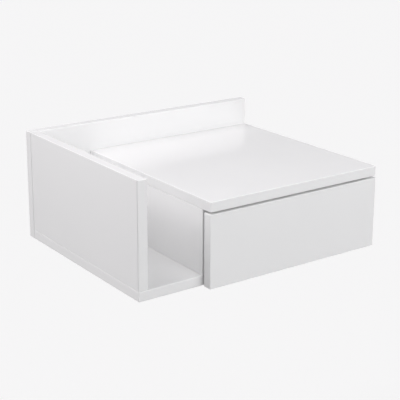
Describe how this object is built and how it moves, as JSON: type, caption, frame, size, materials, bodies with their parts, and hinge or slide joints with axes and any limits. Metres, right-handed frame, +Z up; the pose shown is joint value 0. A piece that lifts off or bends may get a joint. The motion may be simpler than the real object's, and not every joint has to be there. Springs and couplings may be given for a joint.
{
  "type": "floating nightstand",
  "caption": "Wall-hung nightstand with an open niche, a handleless push-to-open drawer on ball-bearing slides and a raised back panel.",
  "frame": {"origin": "centre of the back panel's face that lies on the wall", "axes": "+Y into the wall, -Y out into the room towards the drawer front, +X to the right for someone in front, +Z up"},
  "size_m": [0.41, 0.336, 0.17],
  "materials": {
    "white_lacquer": "white satin lacquer on fibreboard",
    "drawer_foil": "white melamine foil on board",
    "drawer_sheet": "white foil on thin hardboard",
    "slide_steel": "bright zinc-plated sheet steel",
    "ball_steel": "polished balls in a plated steel cage",
    "screw_steel": "zinc-plated steel",
    "cast_zinc": "matt die-cast zinc",
    "latch_plastic": "moulded light grey plastic",
    "spring_steel": "spring wire"
  },
  "bodies": {
    "carcass": {"base_panel": "white_lacquer", "left_side_panel": "white_lacquer", "divider_panel": "white_lacquer", "right_side_panel": "white_lacquer", "top_panel": "white_lacquer", "back_panel": "white_lacquer", "left_cabinet_member": "slide_steel", "right_cabinet_member": "slide_steel", "left_cabinet_screw_rear": "screw_steel", "left_cabinet_screw_front": "screw_steel", "right_cabinet_screw_rear": "screw_steel", "right_cabinet_screw_front": "screw_steel", "base_screw_left_front": "screw_steel", "base_screw_left_rear": "screw_steel", "base_screw_divider_front": "screw_steel", "base_screw_divider_rear": "screw_steel", "base_screw_right_front": "screw_steel", "base_screw_right_rear": "screw_steel", "back_screw_base_left": "screw_steel", "back_screw_base_right": "screw_steel", "back_screw_top_left": "screw_steel", "back_screw_top_right": "screw_steel", "back_screw_side": "screw_steel", "divider_front_cam_bolt": "screw_steel", "divider_rear_cam_bolt": "screw_steel", "right_front_cam_bolt": "screw_steel", "right_rear_cam_bolt": "screw_steel", "divider_front_cam_lock": "cast_zinc", "divider_rear_cam_lock": "cast_zinc", "right_front_cam_lock": "cast_zinc", "right_rear_cam_lock": "cast_zinc", "left_hanger": "slide_steel", "right_hanger": "slide_steel", "left_hanger_screw_upper": "screw_steel", "left_hanger_screw_lower": "screw_steel", "right_hanger_screw_upper": "screw_steel", "right_hanger_screw_lower": "screw_steel", "latch_housing": "latch_plastic", "latch_spring": "spring_steel", "latch_screw_left": "screw_steel", "latch_screw_right": "screw_steel"},
    "drawer": {"drawer_front": "white_lacquer", "drawer_left_side": "drawer_foil", "drawer_right_side": "drawer_foil", "drawer_back": "drawer_foil", "drawer_bottom": "drawer_sheet", "strike_plate": "slide_steel", "left_drawer_member": "slide_steel", "right_drawer_member": "slide_steel", "left_drawer_screw_rear": "screw_steel", "left_drawer_screw_front": "screw_steel", "right_drawer_screw_rear": "screw_steel", "right_drawer_screw_front": "screw_steel", "drawer_left_cam_bolt": "screw_steel", "drawer_right_cam_bolt": "screw_steel", "drawer_left_cam_lock": "cast_zinc", "drawer_right_cam_lock": "cast_zinc"},
    "left_cage": {"left_ball_cage": "ball_steel"},
    "right_cage": {"right_ball_cage": "ball_steel"},
    "plunger": {"latch_plunger": "latch_plastic"}
  },
  "joints": [
    {"name": "drawer_slide", "type": "slide", "parent": "carcass", "child": "drawer", "axis": [0, -1, 0], "range_m": [0, 0.185]},
    {"name": "left_cage_roll", "type": "slide", "parent": "carcass", "child": "left_cage", "axis": [0, -1, 0], "range_m": [0, 0.0925]},
    {"name": "right_cage_roll", "type": "slide", "parent": "carcass", "child": "right_cage", "axis": [0, -1, 0], "range_m": [0, 0.0925]},
    {"name": "latch_press", "type": "slide", "parent": "carcass", "child": "plunger", "axis": [0, 1, 0], "range_m": [0, 0.0025], "stiffness_N_per_m": 300, "springref_m": -0.004, "deforming": ["latch_spring"]}
  ],
  "couplings": [
    {"joint": "left_cage_roll", "follows": "drawer_slide", "ratio": 0.5},
    {"joint": "right_cage_roll", "follows": "drawer_slide", "ratio": 0.5}
  ]
}
